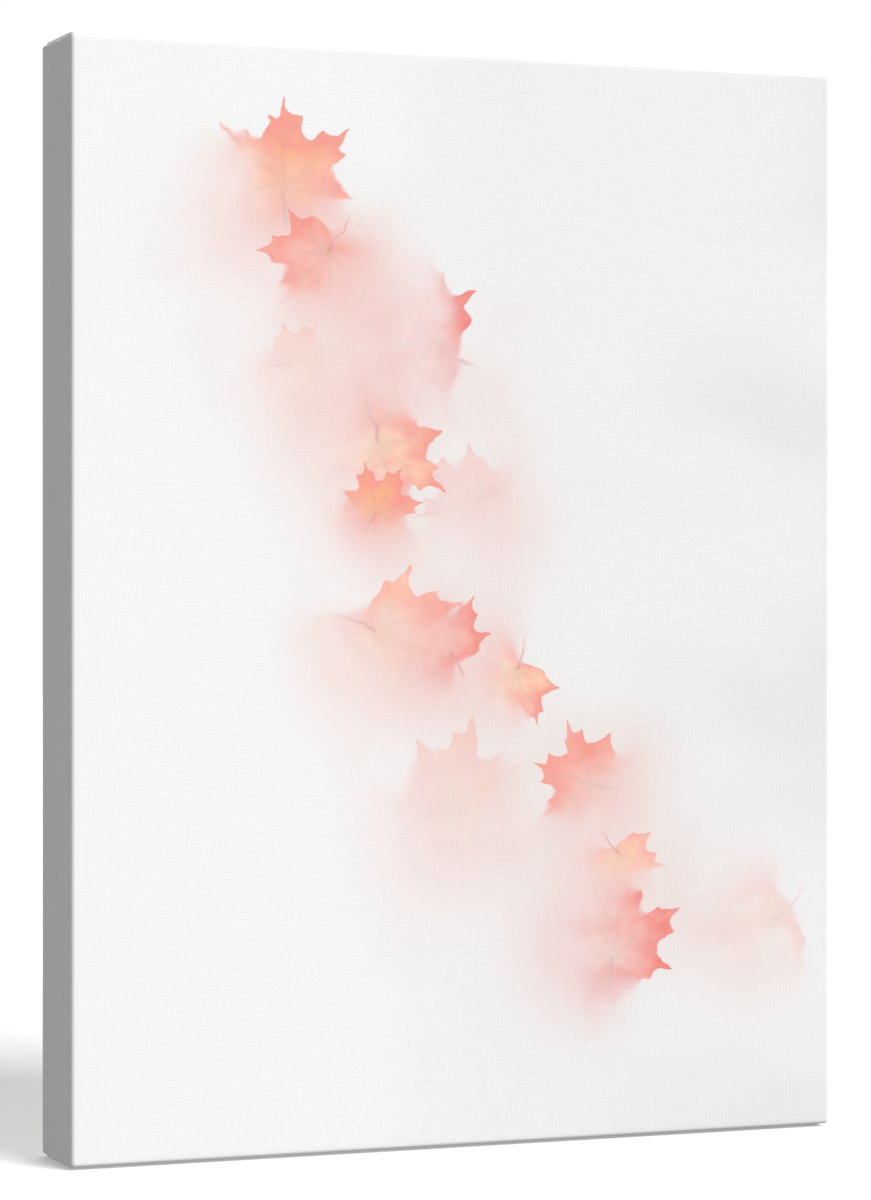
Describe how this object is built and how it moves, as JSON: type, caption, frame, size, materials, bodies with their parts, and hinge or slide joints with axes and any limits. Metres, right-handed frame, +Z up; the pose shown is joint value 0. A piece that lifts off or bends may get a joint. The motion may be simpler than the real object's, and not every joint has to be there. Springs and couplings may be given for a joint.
{
  "type": "stretched canvas",
  "caption": "Gallery-wrapped canvas print of leaves in mist on a keyed wooden stretcher frame, with corner keys, staples, swinging D-ring hangers and wall bumpers on the back",
  "frame": {"origin": "the middle of the canvas's bottom edge, half-way through the depth of the bars", "axes": "+Z up, -Y out of the printed front, +X to the right as seen from the front"},
  "size_m": [0.3048, 0.0432, 0.4064],
  "materials": {
    "bar_wood": "planed bare pine",
    "key_wood": "sawn bare beech",
    "printed_cloth": "matte primed and printed cotton canvas",
    "staple_wire": "galvanised wire",
    "hanger_steel": "nickel-plated steel",
    "screw_steel": "zinc-plated steel",
    "bumper_rubber": "matte rubber"
  },
  "bodies": {
    "frame": {"stretcher_bar_top": "bar_wood", "stretcher_bar_bottom": "bar_wood", "stretcher_bar_left": "bar_wood", "stretcher_bar_right": "bar_wood", "canvas": "printed_cloth", "staples_top": "staple_wire", "staples_bottom": "staple_wire", "staples_left": "staple_wire", "staples_right": "staple_wire", "hanger_strap_left": "hanger_steel", "hanger_strap_right": "hanger_steel", "hanger_screw_left": "screw_steel", "hanger_screw_right": "screw_steel", "wall_bumper_left": "bumper_rubber", "wall_bumper_right": "bumper_rubber"},
    "key_top_left_upright": {"key_top_left_upright": "key_wood"},
    "key_top_left_level": {"key_top_left_level": "key_wood"},
    "key_top_right_upright": {"key_top_right_upright": "key_wood"},
    "key_top_right_level": {"key_top_right_level": "key_wood"},
    "key_bottom_left_upright": {"key_bottom_left_upright": "key_wood"},
    "key_bottom_left_level": {"key_bottom_left_level": "key_wood"},
    "key_bottom_right_upright": {"key_bottom_right_upright": "key_wood"},
    "key_bottom_right_level": {"key_bottom_right_level": "key_wood"},
    "hanger_ring_left": {"hanger_ring_left": "hanger_steel"},
    "hanger_ring_right": {"hanger_ring_right": "hanger_steel"}
  },
  "joints": [
    {"name": "key_top_left_upright_slide", "type": "slide", "parent": "frame", "child": "key_top_left_upright", "axis": [0, 0, -1], "range_m": [0, 0.022]},
    {"name": "key_top_left_level_slide", "type": "slide", "parent": "frame", "child": "key_top_left_level", "axis": [1, 0, 0], "range_m": [0, 0.022]},
    {"name": "key_top_right_upright_slide", "type": "slide", "parent": "frame", "child": "key_top_right_upright", "axis": [0, 0, -1], "range_m": [0, 0.022]},
    {"name": "key_top_right_level_slide", "type": "slide", "parent": "frame", "child": "key_top_right_level", "axis": [-1, 0, 0], "range_m": [0, 0.022]},
    {"name": "key_bottom_left_upright_slide", "type": "slide", "parent": "frame", "child": "key_bottom_left_upright", "axis": [0, 0, 1], "range_m": [0, 0.022]},
    {"name": "key_bottom_left_level_slide", "type": "slide", "parent": "frame", "child": "key_bottom_left_level", "axis": [1, 0, 0], "range_m": [0, 0.022]},
    {"name": "key_bottom_right_upright_slide", "type": "slide", "parent": "frame", "child": "key_bottom_right_upright", "axis": [0, 0, 1], "range_m": [0, 0.022]},
    {"name": "key_bottom_right_level_slide", "type": "slide", "parent": "frame", "child": "key_bottom_right_level", "axis": [-1, 0, 0], "range_m": [0, 0.022]},
    {"name": "ring_left_hinge", "type": "hinge", "parent": "frame", "child": "hanger_ring_left", "pos_m": [-0.1384, 0.0213, 0.30533], "axis": [1, 0, 0], "range_deg": [0, 172]},
    {"name": "ring_right_hinge", "type": "hinge", "parent": "frame", "child": "hanger_ring_right", "pos_m": [0.1384, 0.0213, 0.30533], "axis": [1, 0, 0], "range_deg": [0, 172]}
  ]
}
